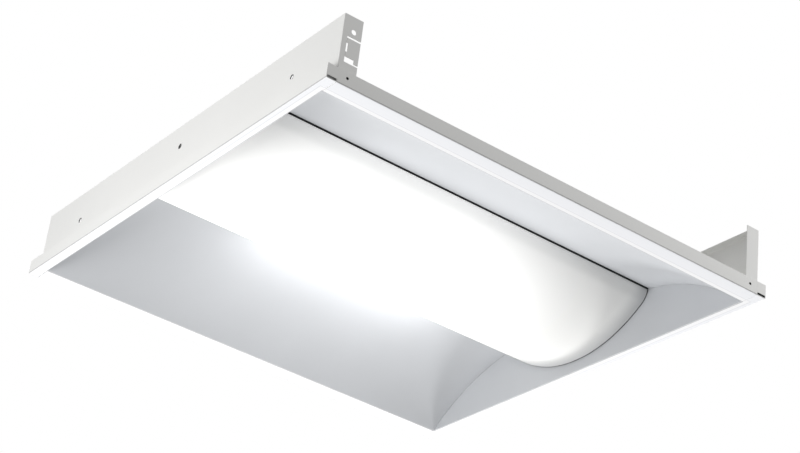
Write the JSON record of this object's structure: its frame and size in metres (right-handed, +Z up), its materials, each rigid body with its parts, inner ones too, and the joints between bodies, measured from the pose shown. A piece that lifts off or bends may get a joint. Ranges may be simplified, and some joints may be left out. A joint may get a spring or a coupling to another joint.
{
  "type": "recessed troffer light",
  "caption": "White sheet-steel lay-in ceiling light with coved reflector wings and a bowed frosted lens between end plates with bend-out clips.",
  "frame": {"origin": "middle of the opening, level with the underside of the trim", "axes": "+X along the lens, +Y across it, +Z up into the ceiling"},
  "size_m": [0.603, 0.603, 0.084],
  "materials": {
    "white_enamel": "semi-gloss white baked enamel on steel sheet",
    "galvanised_steel": "hot-dip galvanised steel with fine spangle",
    "zinc_steel": "bright zinc plate",
    "frosted_acrylic": "frosted satin acrylic, translucent white",
    "rail_plastic": "satin white extruded plastic",
    "connector_plastic": "satin ivory nylon",
    "driver_metal": "satin aluminium sheet",
    "terminal_plastic": "satin dark grey polycarbonate",
    "circuit_board": "green solder mask on potting compound",
    "component_black": "black sleeve",
    "black_nylon": "matte black nylon",
    "lead_black": "black insulation",
    "lead_white": "white insulation",
    "lead_green": "green insulation",
    "lead_blue": "blue insulation",
    "ground_green": "green dyed screw",
    "splice_amber": "glossy amber polycarbonate",
    "rivet_aluminium": "drawn aluminium, satin",
    "led_board_white": "white solder mask",
    "led_phosphor": "yellow phosphor gel"
  },
  "bodies": {
    "housing": {"side_pan_left": "white_enamel", "side_pan_right": "white_enamel", "end_plate_near": "white_enamel", "end_plate_far": "white_enamel", "housing_top": "white_enamel", "lens_rail_left": "rail_plastic", "lens_rail_right": "rail_plastic", "gear_tray": "white_enamel", "board_links": "connector_plastic", "board_inlets": "connector_plastic", "board_screws": "zinc_steel", "driver_base": "driver_metal", "driver_cover": "driver_metal", "driver_input_plug": "terminal_plastic", "driver_output_plug": "terminal_plastic", "driver_circuit": "circuit_board", "driver_parts": "component_black", "driver_screws": "zinc_steel", "wire_bushing": "black_nylon", "line_lead": "lead_black", "neutral_lead": "lead_white", "ground_lead": "lead_green", "ground_screw": "ground_green", "led_leads": "lead_blue", "wire_splices": "splice_amber", "corner_rivets": "rivet_aluminium", "channel_rivets": "rivet_aluminium", "flange_rivets": "rivet_aluminium", "rail_rivets": "rivet_aluminium", "tray_screws": "zinc_steel", "led_board_1": "led_board_white", "leds_1": "led_phosphor", "led_board_2": "led_board_white", "leds_2": "led_phosphor", "led_board_3": "led_board_white", "leds_3": "led_phosphor", "led_board_4": "led_board_white", "leds_4": "led_phosphor"},
    "lens": {"lens": "frosted_acrylic"},
    "access_cover": {"access_cover": "galvanised_steel", "cover_screw": "zinc_steel"},
    "near_clip": {"tbar_clip_near": "white_enamel"},
    "far_clip": {"tbar_clip_far": "white_enamel"}
  },
  "joints": [
    {"name": "near_clip_bend", "type": "hinge", "parent": "housing", "child": "near_clip", "pos_m": [-0.2831, -0.3003, 0.0415], "axis": [0, 0, -1], "range_deg": [0, 90]},
    {"name": "far_clip_bend", "type": "hinge", "parent": "housing", "child": "far_clip", "pos_m": [0.2831, 0.3003, 0.0415], "axis": [0, 0, -1], "range_deg": [0, 90]},
    {"name": "access_cover_hinge", "type": "hinge", "parent": "housing", "child": "access_cover", "pos_m": [0, 0.0396, 0.0812], "axis": [-1, 0, 0], "range_deg": [0, 100]},
    {"name": "lens_slide", "type": "slide", "parent": "housing", "child": "lens", "axis": [0, 0, 1], "range_m": [-0.08, 0]}
  ]
}
